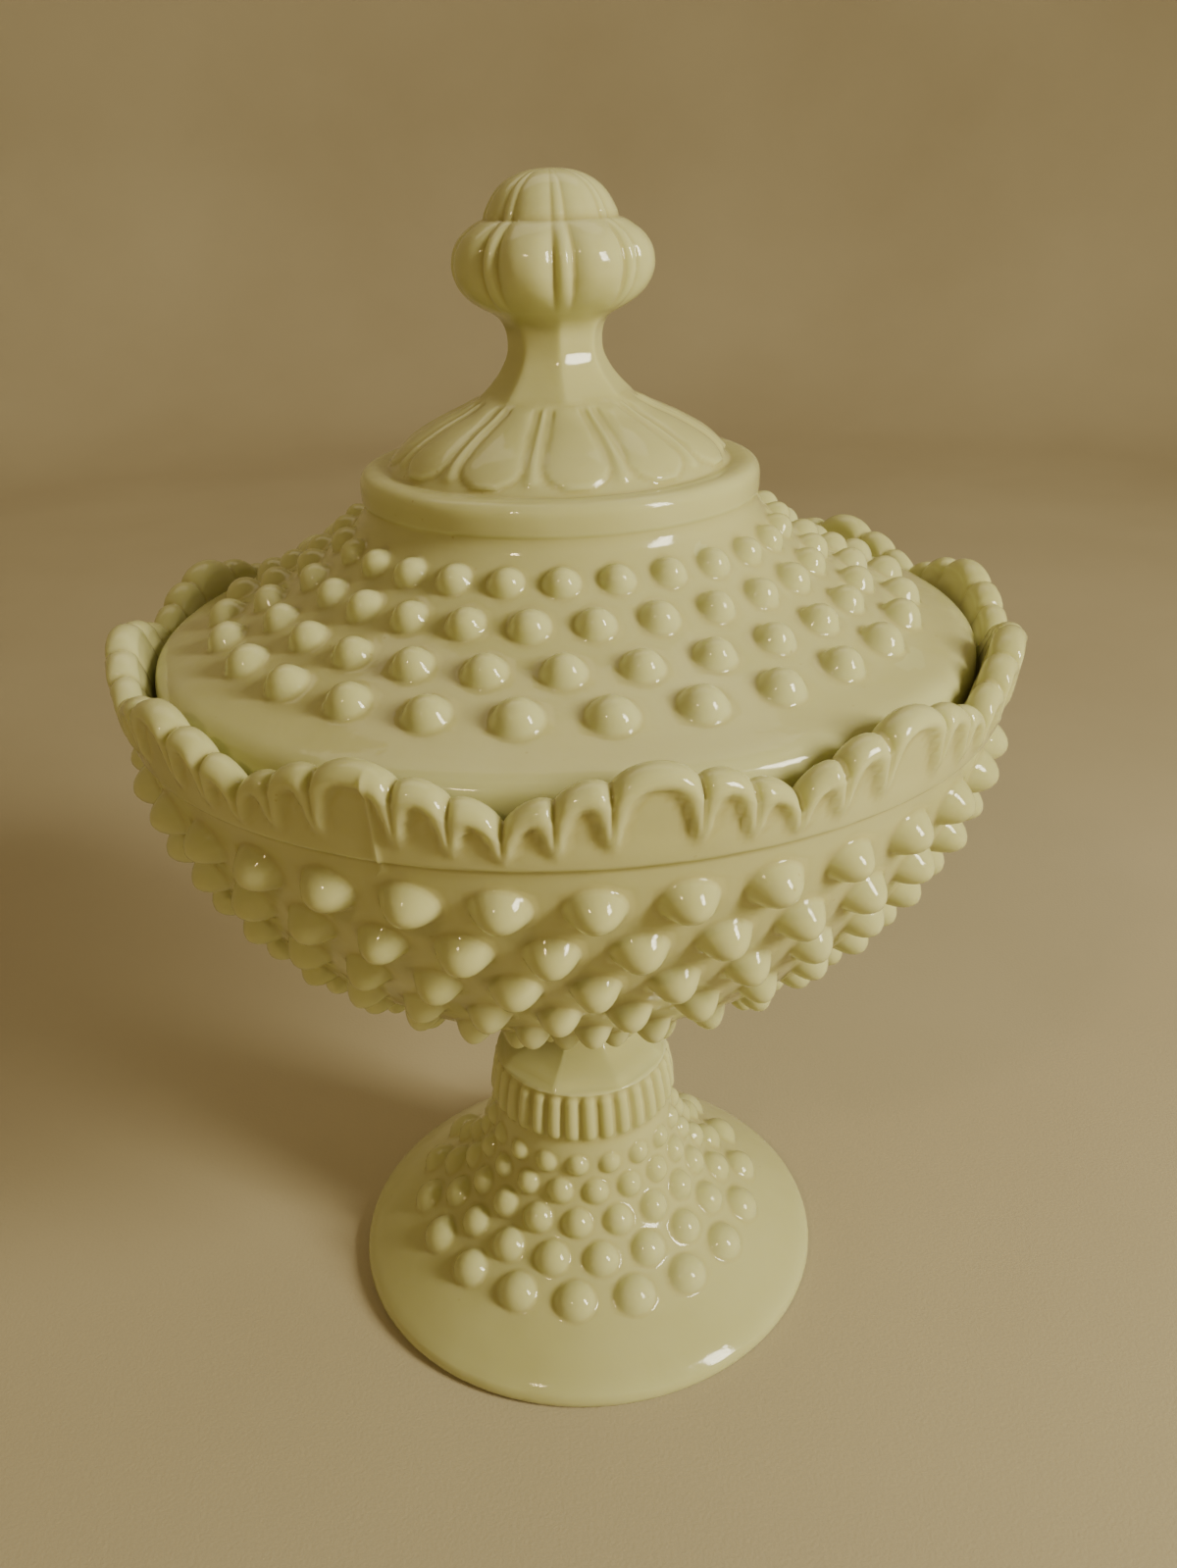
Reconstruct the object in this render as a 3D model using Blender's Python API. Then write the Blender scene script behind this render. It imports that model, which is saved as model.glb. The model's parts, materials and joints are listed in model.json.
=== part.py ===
"""Footed covered candy dish in pressed opaque milk glass, with raised knobs ("hobs") all over.

Two loose pieces, +Z up, centred on the Z axis, standing on z = 0, front facing -Y:
  footed_bowl  one pressing: domed foot, beaded stem, bowl, scalloped crown and the seat for the lid
  lid          one pressing: hobbed dome with a locating lip, collar, petalled cone and lobed finial
The lid rests on the seat inside the crown and lifts straight up along +Z.
"""
import math

import bmesh
import bpy
from mathutils import Vector

# ---------------------------------------------------------------- driving dimensions, in mm
MM = 0.001
SEAT_Z = 135.2            # height of the ledge inside the crown that the lid rests on
SEAT_GAP = 0.3            # air between the resting lid and its seat
FOOT_R = 48.9             # widest radius of the foot
FOOT_RING_R = (40.4, 47.1)  # flat ring the dish stands on
CROWN_R = 79.3            # outside of the crown
CROWN_WALL = 6.0          # thickness of the crown at its scalloped top
COLLAR_R = 33.9           # collar round the base of the finial
BALL_R = 16.65            # widest radius of the lobed finial

# ---------------------------------------------------------------- counts and angles
BOWL_HOBS = 36            # hobs in each row of the bowl
LID_HOBS = 28
FOOT_HOBS = 18
MAJORS = 12               # large scallop groups round the crown
BEADS = 32                # upright beads round the stem
FACETS = 8                # flats round the stem and the finial's neck
PETALS = 12               # raised petals round the cone under the finial
LOBE_SHARES = [0.28, 1.0, 0.18, 0.0, 0.18, 1.0]   # cut into each column of a lobe: rib, valley, crest, valley
LOBE_COLUMNS = len(LOBE_SHARES)
# height of each column of a petal: crest, sides, groove, the rib between two petals, groove, sides
PETAL_SHARES = [1.0, 0.95, 0.75, 0.0, 0.85, 0.0, 0.75, 0.95]
PLAIN_COLUMNS = 36        # round the smooth inner surfaces
CONE_COLUMNS = len(PETAL_SHARES) * PETALS
BOWL_PHASE = 2.0          # degrees from the front to the nearest top-row hob, towards +X
MAJOR_PHASE = 8.1
FOOT_PHASE = -5.3
LID_PHASE = -7.0
FACET_PHASE = 6.5
STEM_PHASE = 3.0
PETAL_PHASE = 5.7

# ---------------------------------------------------------------- profiles, (radius, height) in mm
FOOT_EDGE = [(48.5, 0.6), (FOOT_R, 2.0), (48.3, 3.5), (46.0, 5.3), (41.9, 8.2)]
FOOT_BANDS = [(37.6, 10.9), (31.2, 15.7), (25.7, 20.7), (22.0, 26.1), (19.6, 31.4), (18.3, 36.7)]
FOOT_HOB_SIZES = [(4.3, 3.9, 2.5), (3.6, 3.4, 2.3), (3.2, 3.0, 2.1), (2.7, 2.6, 1.9), (2.4, 2.3, 1.6)]
BEAD_BASE = (18.0, 38.9)
BEAD_ROWS = [(18.7, 40.3), (18.7, 43.4), (18.5, 49.2)]
BEAD_DEPTH = 1.0
BEAD_TOP = (17.75, 50.4)
STEM_FACETS = [
    (17.5, 51.0), (16.6, 51.75), (14.9, 52.6), (12.8, 53.7), (10.6, 55.4),
    (9.3, 57.8), (9.0, 60.0), (9.4, 62.8), (11.0, 66.2),
]
BOWL_START = [(14.2, 69.2), (19.0, 71.8), (26.0, 74.4)]
BOWL_BANDS = [
    (33.0, 78.0), (41.9, 83.2), (50.5, 89.2), (57.9, 96.4),
    (64.1, 104.5), (69.0, 113.1), (72.5, 121.7), (74.6, 130.3),
]
BOWL_HOB_SIZES = [
    (2.1, 2.0, 2.2), (2.6, 2.5, 2.7), (3.1, 3.0, 3.2), (3.55, 3.4, 3.6),
    (3.95, 3.65, 3.9), (4.3, 3.75, 4.1), (4.5, 3.8, 4.1),
]
CROWN_LEDGE = [(75.0, 132.6), (75.9, 133.2), (76.3, 134.2)]
CROWN_INSIDE = [(72.7, 136.4), (72.3, SEAT_Z)]
BOWL_INSIDE = [
    (67.2, SEAT_Z), (67.0, 133.6), (66.9, 127.0), (65.3, 119.0), (62.0, 111.0),
    (56.8, 103.2), (50.0, 96.0), (41.5, 89.4), (30.5, 83.9), (17.0, 80.3),
]
BOWL_FLOOR_Z = 79.1
RECESS = [(36.7, 4.9), (30.9, 9.6), (25.0, 14.3), (19.2, 18.1), (11.0, 21.2)]
RECESS_TOP_Z = 22.3

LID_LIP = [(62.2, 132.8), (62.6, 132.2), (64.8, 132.2), (65.4, 132.7), (65.4, SEAT_Z + SEAT_GAP)]
LID_EDGE = [
    (70.4, SEAT_Z + SEAT_GAP), (71.1, 136.5), (71.2, 140.5),
    (70.6, 142.5), (69.0, 143.7), (66.0, 144.6),
]
LID_BANDS = [(62.7, 145.6), (54.6, 149.3), (46.7, 153.3), (39.9, 158.2), (34.8, 162.8)]
LID_HOB_SIZES = [(3.8, 3.7, 3.0), (3.4, 3.3, 2.8), (3.1, 3.1, 2.5), (2.9, 2.8, 2.3)]
COLLAR = [
    (33.6, 164.6), (33.7, 166.2), (COLLAR_R, 166.7), (33.8, 169.6),
    (33.1, 170.9), (31.8, 171.4), (30.0, 171.2), (29.3, 171.3),
]
CONE = [(28.0, 172.4), (25.0, 175.5), (20.2, 178.3), (15.6, 180.4)]
CONE_TOP = (12.3, 182.3)
PETAL_HEIGHTS = [0.5, 0.9, 0.8, 0.5]
PETAL_FOOT = 0.5          # share of a petal's height that is cut below the cone
NECK = [(11.0, 184.1), (9.4, 186.1), (8.15, 188.6), (7.95, 190.8), (8.3, 192.7), (9.2, 194.3)]
BALL = [
    (10.3, 195.1), (12.2, 196.1), (13.9, 197.2), (15.5, 198.9), (16.45, 200.9),
    (BALL_R, 202.6), (16.25, 204.6), (14.9, 206.6), (12.9, 208.1), (10.9, 209.3),
]
BALL_VALLEYS = [0.035, 0.07, 0.085, 0.10, 0.105, 0.105, 0.105, 0.10, 0.095, 0.055]
FINIAL_DOME = [(10.6, 209.9), (10.1, 211.0), (9.3, 212.4), (8.0, 213.8), (6.2, 214.95), (4.0, 215.75)]
DOME_VALLEY = 0.05
FINIAL_TOP_Z = 216.2
LID_INSIDE = [
    (62.0, 137.6), (60.2, 140.9), (53.0, 144.6), (44.0, 148.8), (37.0, 153.4),
    (31.6, 158.2), (29.2, 163.3), (27.2, 167.4), (21.0, 171.8), (13.5, 175.6), (6.0, 177.6),
]
LID_CEILING_Z = 178.0

# ---------------------------------------------------------------- crown scallops
CROWN_TOP_Z = 147.9
CROWN_LEAN = 0.155        # how far the outer face leans out, over its height
# each major group is five scallops wide: (degrees, mesh steps, height of the top)
SCALLOPS = [(5.1, 2, 143.2), (5.5, 2, 145.9), (8.8, 4, CROWN_TOP_Z), (5.5, 2, 145.9), (5.1, 2, 143.2)]
DIPS = [139.8, 142.9, 144.8, 144.8, 142.9, 139.8]   # heights of the notches beside them
CROWN_ROUND = 1.8         # how far the crown's edges sit below its crest
FLUTE_DEPTH = 0.9         # how far the notches cut into the outer face

# ---------------------------------------------------------------- hob shape
# the tables of hob sizes hold (half width, half height, stand-out), from the lowest row up
HOB_TIP_SHARE = 0.36      # width of a hob's tip over its base
HOB_DIRECTIONS = {6: [210, 270, 330, 30, 90, 150], 4: [225, 315, 45, 135]}
SMALL_HOB = 3.25          # hobs with a smaller half width are built with four sides
ROW_WEAVE = 0.13          # how far the line between two rows bends round their hobs, over a row's height


def at(radius, height, degrees):
    """Point at a radius, height and angle from the front (-Y) towards +X."""
    a = math.radians(degrees)
    return Vector((radius * math.sin(a), -radius * math.cos(a), height)) * MM


def ring(bm, point, columns, phase=0.0, radius_at=None):
    """Circle of vertices. radius_at(degrees, radius) shapes it."""
    radius, height = point
    made = []
    for i in range(columns):
        degrees = phase + 360.0 * i / columns
        shaped = radius_at(degrees, radius) if radius_at else radius
        made.append(bm.verts.new(at(shaped, height, degrees)))
    return made


def angle_of(vert, start):
    turn = math.atan2(vert.co.x, -vert.co.y) - start
    return turn % (2 * math.pi)


def stitch(bm, low, high):
    """Joins two rings, with quads where they match and with triangles where they don't."""
    if len(low) == len(high):
        for i in range(len(low)):
            j = (i + 1) % len(low)
            bm.faces.new((low[i], low[j], high[j], high[i]))
        return
    start = math.atan2(low[0].co.x, -low[0].co.y) - 1e-6
    high = sorted(high, key=lambda v: angle_of(v, start))
    low_turns = [angle_of(v, start) for v in low] + [2 * math.pi]
    high_turns = [angle_of(v, start) for v in high] + [2 * math.pi + angle_of(high[0], start)]
    i = j = 0
    while i < len(low) or j < len(high):
        a, b = low[i % len(low)], high[j % len(high)]
        step_low = j == len(high) or (i < len(low) and low_turns[i + 1] <= high_turns[j + 1])
        if step_low:
            bm.faces.new((a, low[(i + 1) % len(low)], b))
            i += 1
        else:
            bm.faces.new((a, high[(j + 1) % len(high)], b))
            j += 1


def sweep(bm, last, points, columns, phase=0.0, radius_at=None):
    """Adds a ring for each point, each stitched to the one before, and returns the last."""
    for point in points:
        made = ring(bm, point, columns, phase, radius_at)
        stitch(bm, last, made)
        last = made
    return last


def cap(bm, last, height):
    """Closes a ring onto a point on the axis."""
    middle = bm.verts.new((0.0, 0.0, height * MM))
    for i in range(len(last)):
        bm.faces.new((last[i], last[(i + 1) % len(last)], middle))


def hob(bm, cell, size):
    """Raised knob in a six-cornered cell, given as lower left, middle, right, upper right, middle, left."""
    wide, tall, height = size
    middle = (cell[1].co + cell[4].co) / 2
    side = (cell[2].co - cell[0].co).normalized()
    rise = (cell[4].co - cell[1].co).normalized()
    out = side.cross(rise).normalized()
    if out.dot(Vector((middle.x, middle.y, 0.0))) < 0:
        out = -out
    sides = 4 if wide < SMALL_HOB else 6
    rings = []
    for share, lift in ((1.0, 0.0), (HOB_TIP_SHARE, height)):
        made = []
        for degrees in HOB_DIRECTIONS[sides]:
            a = math.radians(degrees)
            across = side * (wide * math.cos(a)) + rise * (tall * math.sin(a))
            made.append(bm.verts.new(middle + (across * share + out * lift) * MM))
        rings.append(made)
    base, tip = rings
    if sides == 6:
        for i in range(6):
            j = (i + 1) % 6
            bm.faces.new((cell[i], cell[j], base[j], base[i]))
    else:
        fill_square_cell(bm, cell, base)
    for i in range(sides):
        j = (i + 1) % sides
        bm.faces.new((base[i], base[j], tip[j], tip[i]))
    bm.faces.new(tip)


def fill_square_cell(bm, cell, base):
    """Flat ground between a six-cornered cell and a four-sided hob."""
    low_left, low, low_right, high_right, high, high_left = cell
    a, b, c, d = base
    for corners in (
        (low_left, low, a), (low, b, a), (low, low_right, b),
        (low_right, high_right, c, b), (high_right, high, c),
        (high, d, c), (high, high_left, d), (high_left, low_left, a, d),
    ):
        bm.faces.new(corners)


def woven_ring(bm, points, columns, phase, shift):
    """Ring at the second point, bent away from the hobs of the row before it and round those of the next."""
    low, high = points
    drift = [ROW_WEAVE * (b - a) for a, b in zip(low, high)]
    made = []
    for i in range(columns):
        sign = 1.0 if i % 2 == shift else -1.0
        degrees = phase + 360.0 * i / columns
        made.append(bm.verts.new(at(high[0] + sign * drift[0], high[1] + sign * drift[1], degrees)))
    return made


def hob_rows(bm, last, points, sizes, count, phase):
    """Rows of hobs between the given circles, each row set half a pitch round from the one before it."""
    columns = 2 * count
    for row, size in enumerate(sizes):
        shift = row % 2
        high = woven_ring(bm, points[row:row + 2], columns, phase, shift)
        for k in range(count):
            i = 2 * k + shift
            left, mid, right = (i - 1) % columns, i % columns, (i + 1) % columns
            cell = [last[left], last[mid], last[right], high[right], high[mid], high[left]]
            hob(bm, cell, size)
        last = high
    return last


def octagon(phase):
    """Radius rule for a section with flats, its edges at the phase angle."""
    half = 180.0 / FACETS

    def shaped(degrees, radius):
        off = (degrees - phase) % (2 * half) - half
        return radius * math.cos(math.radians(half)) / math.cos(math.radians(off))

    return shaped


def lobed(depth):
    """Radius rule for rounded lobes, with a narrow rib standing in each valley."""
    def shaped(degrees, radius):
        column = round((degrees - FACET_PHASE) / 360.0 * FACETS * LOBE_COLUMNS)
        return radius * (1.0 - depth * LOBE_SHARES[column % LOBE_COLUMNS])

    return shaped


def beaded(degrees, radius):
    column = round((degrees - STEM_PHASE) / 360.0 * 2 * BEADS)
    return radius - BEAD_DEPTH * (column % 2)


def petalled(height):
    """Radius rule for petals: a crest, two sides and a groove."""
    def shaped(degrees, radius):
        column = round((degrees - PETAL_PHASE) / 360.0 * CONE_COLUMNS)
        return radius + height * (PETAL_SHARES[column % len(PETAL_SHARES)] - PETAL_FOOT)

    return shaped


def crown_steps():
    """(degrees, crest height, notch share) all round the crown."""
    made = []
    for major in range(MAJORS):
        degrees = MAJOR_PHASE + 360.0 / MAJORS * (major - 0.5)
        for n, (width, steps, top) in enumerate(SCALLOPS):
            low, high = DIPS[n], DIPS[n + 1]
            bump = top - (low + high) / 2
            for s in range(steps):
                t = s / steps
                crest = low + (high - low) * t + bump * math.sqrt(max(0.0, 1 - (2 * t - 1) ** 2))
                made.append((degrees + width * t, crest, 1.0 if s == 0 else 0.0))
            degrees += width
    return made


def crown_ring(bm, radius, drop, lean, flute):
    """One line of the crown's scalloped top. The radius is where it passes the tallest scallop."""
    made = []
    for degrees, crest, notch in crown_steps():
        inward = lean * (CROWN_TOP_Z - crest) + flute * notch
        made.append(bm.verts.new(at(radius - inward, crest - drop, degrees)))
    return made


def add_crown(bm, last):
    """Scalloped crown, from the ledge outside to the seat inside."""
    last = sweep(bm, last, CROWN_LEDGE, 2 * BOWL_HOBS, BOWL_PHASE)
    outer = crown_ring(bm, CROWN_R, CROWN_ROUND, CROWN_LEAN, FLUTE_DEPTH)
    stitch(bm, last, outer)
    crest = crown_ring(bm, CROWN_R - CROWN_WALL / 2, 0.0, CROWN_LEAN / 2, 0.0)
    stitch(bm, outer, crest)
    inner = crown_ring(bm, CROWN_R - CROWN_WALL, CROWN_ROUND, 0.0, 0.0)
    stitch(bm, crest, inner)
    return sweep(bm, inner, CROWN_INSIDE, PLAIN_COLUMNS)


def add_foot(bm):
    """Foot from its flat ring up to the top of its hobs. Returns (first ring, last ring)."""
    columns = 2 * FOOT_HOBS
    bottom = ring(bm, (FOOT_RING_R[1], 0.0), columns, FOOT_PHASE)
    last = sweep(bm, bottom, FOOT_EDGE + FOOT_BANDS[:1], columns, FOOT_PHASE)
    last = hob_rows(bm, last, FOOT_BANDS, FOOT_HOB_SIZES, FOOT_HOBS, FOOT_PHASE)
    return bottom, last


def add_stem(bm, last):
    """Beaded ring and flat-sided stem, opening into the bottom of the bowl."""
    last = sweep(bm, last, [BEAD_BASE], 2 * BEADS, STEM_PHASE)
    last = sweep(bm, last, BEAD_ROWS, 2 * BEADS, STEM_PHASE, beaded)
    last = sweep(bm, last, [BEAD_TOP], 2 * BEADS, STEM_PHASE)
    edges = STEM_PHASE + 180.0 / FACETS
    last = sweep(bm, last, STEM_FACETS, 2 * FACETS, edges, octagon(edges))
    return sweep(bm, last, BOWL_START, PLAIN_COLUMNS, BOWL_PHASE)


def build_footed_bowl(bm):
    bottom, last = add_foot(bm)
    last = add_stem(bm, last)
    last = sweep(bm, last, BOWL_BANDS[:1], 2 * BOWL_HOBS, BOWL_PHASE)
    last = hob_rows(bm, last, BOWL_BANDS, BOWL_HOB_SIZES, BOWL_HOBS, BOWL_PHASE)
    last = add_crown(bm, last)
    last = sweep(bm, last, BOWL_INSIDE, PLAIN_COLUMNS)
    cap(bm, last, BOWL_FLOOR_Z)
    under = ring(bm, (FOOT_RING_R[0], 0.0), 2 * FOOT_HOBS, FOOT_PHASE)
    stitch(bm, bottom, under)
    under = sweep(bm, under, RECESS, 2 * FOOT_HOBS, FOOT_PHASE)
    cap(bm, under, RECESS_TOP_Z)


def add_finial(bm, last):
    """Flat-sided neck, eight-lobed ball and ribbed dome."""
    columns = FACETS * LOBE_COLUMNS
    last = sweep(bm, last, [CONE_TOP] + NECK, columns, FACET_PHASE, octagon(FACET_PHASE))
    for point, valley in zip(BALL, BALL_VALLEYS):
        last = sweep(bm, last, [point], columns, FACET_PHASE, lobed(valley))
    last = sweep(bm, last, FINIAL_DOME, columns, FACET_PHASE, lobed(DOME_VALLEY))
    cap(bm, last, FINIAL_TOP_Z)


def build_lid(bm):
    columns = 2 * LID_HOBS
    lip = ring(bm, LID_LIP[0], PLAIN_COLUMNS)
    last = sweep(bm, lip, LID_LIP[1:], PLAIN_COLUMNS)
    last = sweep(bm, last, LID_EDGE + LID_BANDS[:1], columns, LID_PHASE)
    last = hob_rows(bm, last, LID_BANDS, LID_HOB_SIZES, LID_HOBS, LID_PHASE)
    last = sweep(bm, last, COLLAR, columns, LID_PHASE)
    for point, height in zip(CONE, PETAL_HEIGHTS):
        last = sweep(bm, last, [point], CONE_COLUMNS, PETAL_PHASE, petalled(height))
    add_finial(bm, last)
    inside = sweep(bm, lip, LID_INSIDE, PLAIN_COLUMNS)
    cap(bm, inside, LID_CEILING_Z)


def milk_glass():
    """Opaque warm ivory glass with a fire-polished gloss."""
    material = bpy.data.materials.new("milk_glass")
    material.use_nodes = True
    shader = material.node_tree.nodes["Principled BSDF"]
    shader.inputs["Base Color"].default_value = (0.83, 0.79, 0.60, 1.0)
    shader.inputs["Roughness"].default_value = 0.12
    shader.inputs["Metallic"].default_value = 0.0
    return material


def add_node(name, build, material):
    """Builds one closed solid as a named object."""
    bm = bmesh.new()
    build(bm)
    bmesh.ops.recalc_face_normals(bm, faces=bm.faces)
    mesh = bpy.data.meshes.new(name)
    bm.to_mesh(mesh)
    bm.free()
    mesh.materials.append(material)
    node = bpy.data.objects.new(name, mesh)
    bpy.context.scene.collection.objects.link(node)
    return node


for old in list(bpy.data.objects):
    bpy.data.objects.remove(old)

glass = milk_glass()
add_node("footed_bowl", build_footed_bowl, glass)
add_node("lid", build_lid, glass)
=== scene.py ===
# Looks of a footed covered candy dish in opaque ivory milk glass.
#
# Each piece is one closed high-resolution skin, wound round the Z axis from its profile: woven cells
# carry the hobs, and radius rules shape the crown, beads, flats, petals and lobes. Lengths are in mm
# until the mesh is made, and angles in degrees. The dish faces -Y, which is angle 0, and angles grow
# towards +X.
import json
import math

import bmesh
import bpy
import numpy as np
from mathutils import Matrix, Vector

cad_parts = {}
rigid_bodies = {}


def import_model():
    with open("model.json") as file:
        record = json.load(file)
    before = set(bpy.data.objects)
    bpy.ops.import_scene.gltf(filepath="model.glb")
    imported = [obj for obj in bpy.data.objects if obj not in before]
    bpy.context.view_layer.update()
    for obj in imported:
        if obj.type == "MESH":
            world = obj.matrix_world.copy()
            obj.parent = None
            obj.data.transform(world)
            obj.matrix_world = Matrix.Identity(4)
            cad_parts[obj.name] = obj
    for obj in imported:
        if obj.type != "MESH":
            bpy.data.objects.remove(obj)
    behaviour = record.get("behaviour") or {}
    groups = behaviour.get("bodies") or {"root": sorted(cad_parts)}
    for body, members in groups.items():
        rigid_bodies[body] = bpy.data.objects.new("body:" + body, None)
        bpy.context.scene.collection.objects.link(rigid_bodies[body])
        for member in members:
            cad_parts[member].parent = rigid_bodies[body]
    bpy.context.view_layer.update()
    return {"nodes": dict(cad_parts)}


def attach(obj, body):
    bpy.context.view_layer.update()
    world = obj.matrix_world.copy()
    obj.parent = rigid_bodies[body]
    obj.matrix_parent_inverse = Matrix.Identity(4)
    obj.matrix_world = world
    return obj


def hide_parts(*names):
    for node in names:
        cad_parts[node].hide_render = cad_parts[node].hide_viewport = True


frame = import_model()

MM = 0.001
SEAT_Z = 135.2                          # height of the ring that the lid rests on
SEAT_GAP = 0.3                          # air left between the lid and that ring
CROWN_R = 79.2                          # the crown's outer face stays inside this radius
BOWL_HOBS, LID_HOBS, FOOT_HOBS = 36, 28, 18                 # hobs in one row
MAJORS, BEADS, FACETS, PETALS = 12, 32, 8, 12               # in one turn; a major is a group of scallops
BOWL_PHASE, MAJOR_PHASE, FOOT_PHASE = 2.0, 8.1, -5.3        # angle of the first one of each
LID_PHASE, FACET_PHASE, STEM_PHASE, PETAL_PHASE = -7.0, 6.5, 3.0, 5.7
SEAM_ANGLES = (-20.0, 100.0, 220.0)     # joints of the three-part mould
rng = np.random.default_rng(7)


# ---------------------------------------------------------------- profiles
CURVE_STEPS = 16                        # straight steps between two given points of a profile
SHORTEST = 1e-6                         # keeps two points that fall together apart
SLOPE_REACH = 0.4                       # the slope at a place is taken this far on each side of it


def smooth_curve(points):
    """Rounded line through the given points: its own points, their lengths along it, and the given ones'."""
    given = np.array(points, float)
    padded = np.vstack([2 * given[0] - given[1], given, 2 * given[-1] - given[-2]])
    made = [given[0]]
    for i in range(len(given) - 1):
        a, b, c, d = padded[i:i + 4]
        ta = max(np.linalg.norm(b - a), SHORTEST) ** 0.5
        tb = ta + max(np.linalg.norm(c - b), SHORTEST) ** 0.5
        tc = tb + max(np.linalg.norm(d - c), SHORTEST) ** 0.5
        for t in np.linspace(ta, tb, CURVE_STEPS + 1)[1:]:
            ab = a + (b - a) * (t / ta)
            bc = b + (c - b) * ((t - ta) / (tb - ta))
            cd = c + (d - c) * ((t - tb) / (tc - tb))
            abc = ab + (bc - ab) * (t / tb)
            bcd = bc + (cd - bc) * ((t - ta) / (tc - ta))
            made.append(abc + (bcd - abc) * ((t - ta) / (tb - ta)))
    made = np.array(made)
    steps = np.linalg.norm(np.diff(made, axis=0), axis=1)
    lengths = np.concatenate([[0], np.cumsum(steps)])
    return made, lengths, lengths[::CURVE_STEPS]


class Profile:
    """A smooth line of (radius, height), read by the length along it."""

    def __init__(self, points):
        self.points, self.lengths, self.knots = smooth_curve(points)
        self.end = self.lengths[-1]

    def at(self, s):
        return (
            np.interp(s, self.lengths, self.points[:, 0]),
            np.interp(s, self.lengths, self.points[:, 1]),
        )

    def outward(self, s):
        """Direction square to the line, which is outward where the line runs upward."""
        r1, z1 = self.at(s + SLOPE_REACH)
        r0, z0 = self.at(s - SLOPE_REACH)
        size = np.hypot(r1 - r0, z1 - z0)
        return (z1 - z0) / size, -(r1 - r0) / size


# ---------------------------------------------------------------- skin
ANGLE_SLACK = 1e-4                      # a column this close before the first one lines up with it


class Skin:
    """Vertices and faces of one closed piece, as it grows ring by ring."""

    def __init__(self):
        self.points, self.faces, self.count = [], [], 0

    def add(self, points):
        points = np.asarray(points, float).reshape(-1, 3)
        ids = np.arange(self.count, self.count + len(points))
        self.points.append(points)
        self.count += len(points)
        return ids

    def ring(self, degrees, radius, height):
        a = np.radians(degrees)
        radius, height = radius + 0 * a, height + 0 * a
        return self.add(np.stack([radius * np.sin(a), -radius * np.cos(a), height], -1))

    def join(self, low, high):
        """Quads between two rings of the same size."""
        n = len(low)
        for i in range(n):
            j = (i + 1) % n
            self.faces.append((low[i], low[j], high[j], high[i]))

    def stitch(self, low, high, low_degrees, high_degrees):
        """Triangles between two rings with different columns."""
        start = low_degrees[0] - ANGLE_SLACK
        ups = (np.asarray(high_degrees) - start) % 360
        order = np.argsort(ups)
        high = [high[k] for k in order]
        ups = list(ups[order])
        ups.append(360.0 + ups[0])
        lows = list((np.asarray(low_degrees) - start) % 360) + [360.0]
        i = j = 0
        n, m = len(low), len(high)
        while i < n or j < m:
            if j == m or (i < n and lows[i + 1] <= ups[j + 1]):
                self.faces.append((low[i % n], low[(i + 1) % n], high[j % m]))
                i += 1
            else:
                self.faces.append((low[i % n], high[(j + 1) % m], high[j % m]))
                j += 1

    def fan(self, rim, tip):
        """Triangles from a rim to one point."""
        for i in range(len(rim)):
            self.faces.append((rim[i], rim[(i + 1) % len(rim)], tip))

    def cap(self, rim, height):
        self.fan(rim, self.add([(0, 0, height)])[0])

    def mesh(self, name, material):
        """Turns the skin into an object in metres, with its faces outward and smooth."""
        mesh = bpy.data.meshes.new(name)
        points = np.vstack(self.points) * MM
        mesh.from_pydata(points.tolist(), [], [tuple(int(i) for i in f) for f in self.faces])
        turned = bmesh.new()
        turned.from_mesh(mesh)
        bmesh.ops.recalc_face_normals(turned, faces=turned.faces)
        turned.to_mesh(mesh)
        turned.free()
        mesh.polygons.foreach_set("use_smooth", [True] * len(mesh.polygons))
        mesh.materials.append(material)
        mesh.update()
        made = bpy.data.objects.new(name, mesh)
        bpy.context.scene.collection.objects.link(made)
        return made


def turn_columns(count, phase=0.0):
    """Evenly spaced angles round one turn."""
    return phase + 360.0 * np.arange(count) / count


class Winder:
    """Grows a skin along a profile and remembers its last ring."""

    def __init__(self, skin, ids, degrees):
        self.skin, self.ids, self.degrees = skin, ids, degrees

    def to(self, degrees, radius, height):
        made = self.skin.ring(degrees, radius, height)
        if len(made) == len(self.ids) and np.allclose(degrees, self.degrees):
            self.skin.join(self.ids, made)
        else:
            self.skin.stitch(self.ids, made, self.degrees, degrees)
        self.ids, self.degrees = made, np.asarray(degrees)

    def along(self, profile, low, high, steps, degrees, rule=None, skip_first=True):
        """Rings from one length of a profile to another. rule(degrees, s, radius) adds to the radius."""
        for s in np.linspace(low, high, steps + 1)[1 if skip_first else 0:]:
            r, z = profile.at(s)
            self.to(degrees, r + (rule(degrees, s, r) if rule else 0.0), z)


def smoothstep(x, low, high):
    t = np.clip((x - low) / (high - low), 0, 1)
    return t * t * (3 - 2 * t)


def apart(degrees, phase, pitch):
    """Signed distance from the nearest of the evenly spaced angles, in pitches."""
    turn = (np.asarray(degrees) - phase) / pitch
    return turn - np.round(turn)


def seam_ridge(degrees, height, width):
    """Thin raised line that the mould's joints leave. width is in degrees."""
    total = 0.0
    for angle in SEAM_ANGLES:
        off = (np.asarray(degrees) - angle + 180) % 360 - 180
        total = total + height * np.exp(-(off / width) ** 2)
    return total


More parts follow.
